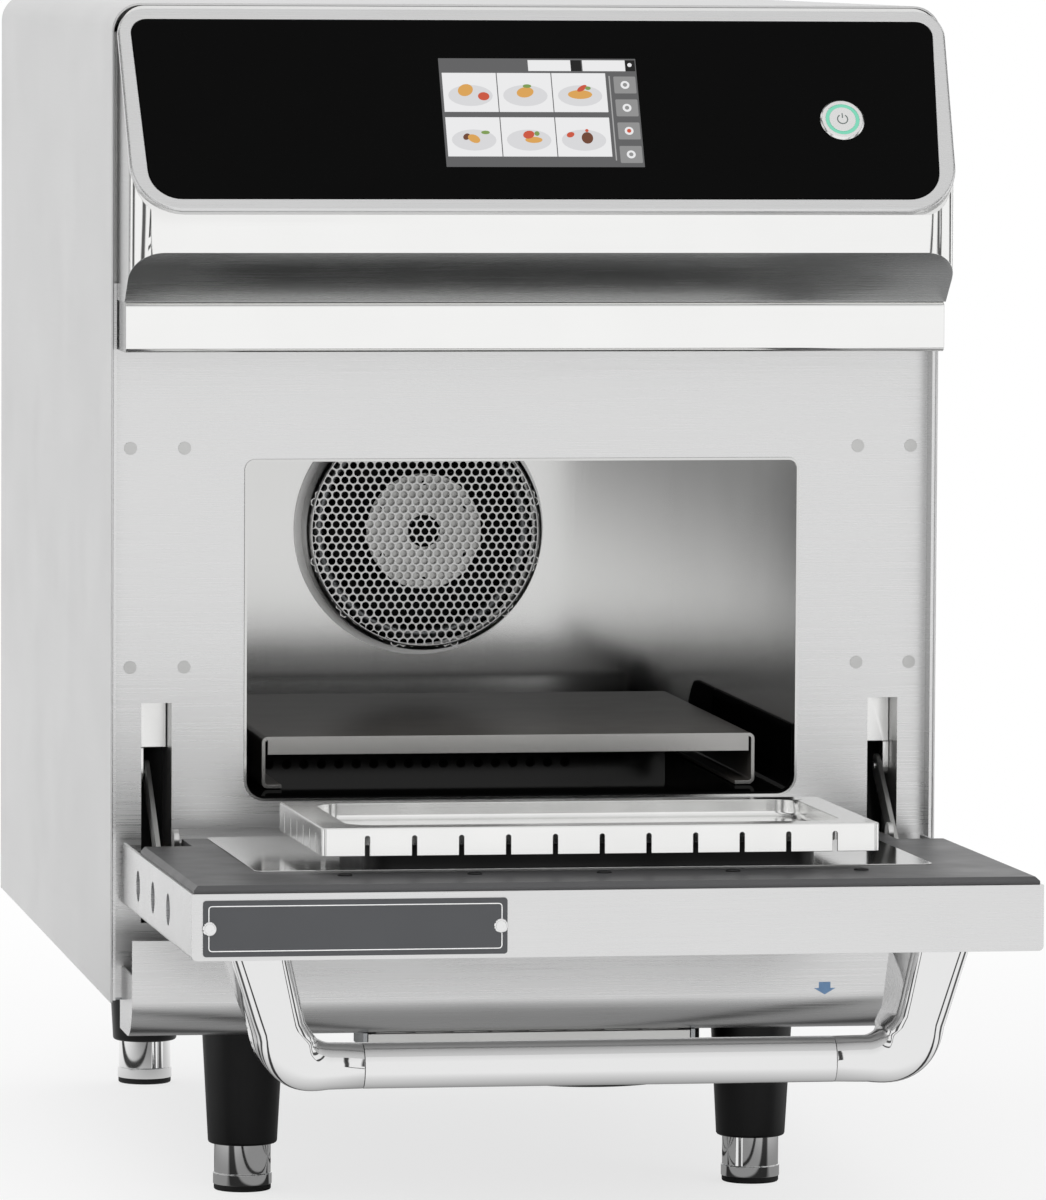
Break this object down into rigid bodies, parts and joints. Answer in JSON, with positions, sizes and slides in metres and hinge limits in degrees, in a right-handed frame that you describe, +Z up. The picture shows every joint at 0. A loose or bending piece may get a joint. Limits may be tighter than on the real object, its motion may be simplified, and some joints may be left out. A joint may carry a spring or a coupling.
{
  "type": "speed oven",
  "caption": "Countertop speed oven with a drop-down door and tubular handle, leaning glass control panel, fan cavity with a raised cooking plate, and adjustable feet.",
  "frame": {"origin": "on the floor, at the middle of the whole part's box with the door open", "axes": "+X to the viewer's right, +Y back into the oven, +Z up; the door opens towards -Y"},
  "size_m": [0.41, 0.8316, 0.592],
  "materials": {
    "steel_brushed": "brushed",
    "steel_polished": "polished",
    "steel_bezel": "satin",
    "steel_cavity": "satin",
    "steel_plug": "polished",
    "steel_plain": "satin",
    "plate_steel": "satin",
    "liner_black": "matt",
    "mineral_wool": "matt",
    "element_steel": "matt",
    "motor_steel": "satin",
    "glass_black": "gloss",
    "screen_face": "gloss",
    "plastic_black": "matt",
    "board_green": "matt",
    "button_steel": "brushed",
    "light_green": "lit",
    "frame_grey": "satin",
    "label_dark": "satin",
    "handle_chrome": "polished",
    "block_white": "matt",
    "stay_steel": "satin",
    "capacitor_can": "satin",
    "foot_chrome": "polished",
    "pad_rubber": "matt"
  },
  "bodies": {
    "oven": {"casing": "steel_brushed", "base_chassis": "steel_plain", "back_panel": "steel_plain", "cable_gland": "plastic_black", "front_plate": "steel_brushed", "cavity_shell": "steel_cavity", "insulation": "mineral_wool", "cavity_liner": "liner_black", "fan_cover": "steel_cavity", "heating_element": "element_steel", "convection_motor": "motor_steel", "trim_bar": "steel_polished", "control_housing": "steel_polished", "fascia_bezel": "steel_bezel", "fascia_glass": "glass_black", "touch_screen": "screen_face", "screen_module": "plastic_black", "control_board": "board_green", "button_body": "button_steel", "button_light": "light_green", "lower_cover": "steel_brushed", "filter_rails": "steel_plain", "underside_cowl": "plastic_black", "legs": "plastic_black", "hinge_brackets": "steel_plain", "stay_blocks": "block_white", "cavity_rails": "steel_plain", "waveguide": "steel_plain", "magnetron": "steel_plain", "transformer": "motor_steel", "capacitor": "capacitor_can", "cooling_fan_frame": "plastic_black"},
    "door": {"door_skin": "steel_brushed", "door_frame": "frame_grey", "door_back_plate": "steel_polished", "door_plug": "steel_plug", "plug_neck": "plastic_black", "label_plate": "label_dark", "label_rivets": "steel_plain", "handle_bar": "handle_chrome", "handle_end_left": "handle_chrome", "handle_end_right": "handle_chrome", "side_caps": "plastic_black", "door_hinge_brackets": "steel_plain"},
    "stay_left": {"stay_arm_left": "stay_steel"},
    "stay_right": {"stay_arm_right": "stay_steel"},
    "cooking_plate": {"cooking_plate": "plate_steel"},
    "convection_fan": {"convection_impeller": "steel_plain", "fan_hub_plate": "steel_cavity"},
    "cooling_fan": {"cooling_fan_rotor": "plastic_black"},
    "power_button": {"button_cap": "button_steel"},
    "air_filter": {"air_filter": "plastic_black"},
    "foot_front_left": {"foot_front_left": "foot_chrome", "pad_front_left": "pad_rubber"},
    "foot_front_right": {"foot_front_right": "foot_chrome", "pad_front_right": "pad_rubber"},
    "foot_back_left": {"foot_back_left": "foot_chrome", "pad_back_left": "pad_rubber"},
    "foot_back_right": {"foot_back_right": "foot_chrome", "pad_back_right": "pad_rubber"}
  },
  "joints": [
    {"name": "door_hinge", "type": "hinge", "parent": "oven", "child": "door", "pos_m": [0, -0.15419, 0.155], "axis": [1, 0, 0], "range_deg": [-89.1, 0]},
    {"name": "stay_left_pivot", "type": "hinge", "parent": "oven", "child": "stay_left", "pos_m": [-0.183, -0.09619, 0.214], "axis": [1, 0, 0], "range_deg": [0, 15.3]},
    {"name": "stay_right_pivot", "type": "hinge", "parent": "oven", "child": "stay_right", "pos_m": [0.183, -0.09619, 0.214], "axis": [1, 0, 0], "range_deg": [0, 15.3]},
    {"name": "cooking_plate_slide", "type": "slide", "parent": "oven", "child": "cooking_plate", "axis": [0, -1, 0], "range_m": [0, 0.115]},
    {"name": "convection_fan_spin", "type": "hinge", "parent": "oven", "child": "convection_fan", "pos_m": [0, 0.22481, 0.3115], "axis": [0, 1, 0], "continuous": true},
    {"name": "cooling_fan_spin", "type": "hinge", "parent": "oven", "child": "cooling_fan", "pos_m": [-0.1, 0.38781, 0.47], "axis": [0, 1, 0], "continuous": true},
    {"name": "power_button_press", "type": "slide", "parent": "oven", "child": "power_button", "axis": [0, 0.8634, -0.5045], "range_m": [0, 0.0015], "stiffness_N_per_m": 800, "springref_m": -0.0005},
    {"name": "air_filter_slide", "type": "slide", "parent": "oven", "child": "air_filter", "axis": [0, -1, 0], "range_m": [0, 0.034]},
    {"name": "foot_front_left_screw", "type": "slide", "parent": "oven", "child": "foot_front_left", "axis": [0, 0, -1], "range_m": [0, 0.02]},
    {"name": "foot_front_right_screw", "type": "slide", "parent": "oven", "child": "foot_front_right", "axis": [0, 0, -1], "range_m": [0, 0.02]},
    {"name": "foot_back_left_screw", "type": "slide", "parent": "oven", "child": "foot_back_left", "axis": [0, 0, -1], "range_m": [0, 0.02]},
    {"name": "foot_back_right_screw", "type": "slide", "parent": "oven", "child": "foot_back_right", "axis": [0, 0, -1], "range_m": [0, 0.02]}
  ],
  "couplings": [
    {"joint": "stay_left_pivot", "follows": "door_hinge", "ratio": -0.17127},
    {"joint": "stay_right_pivot", "follows": "door_hinge", "ratio": -0.17127}
  ]
}
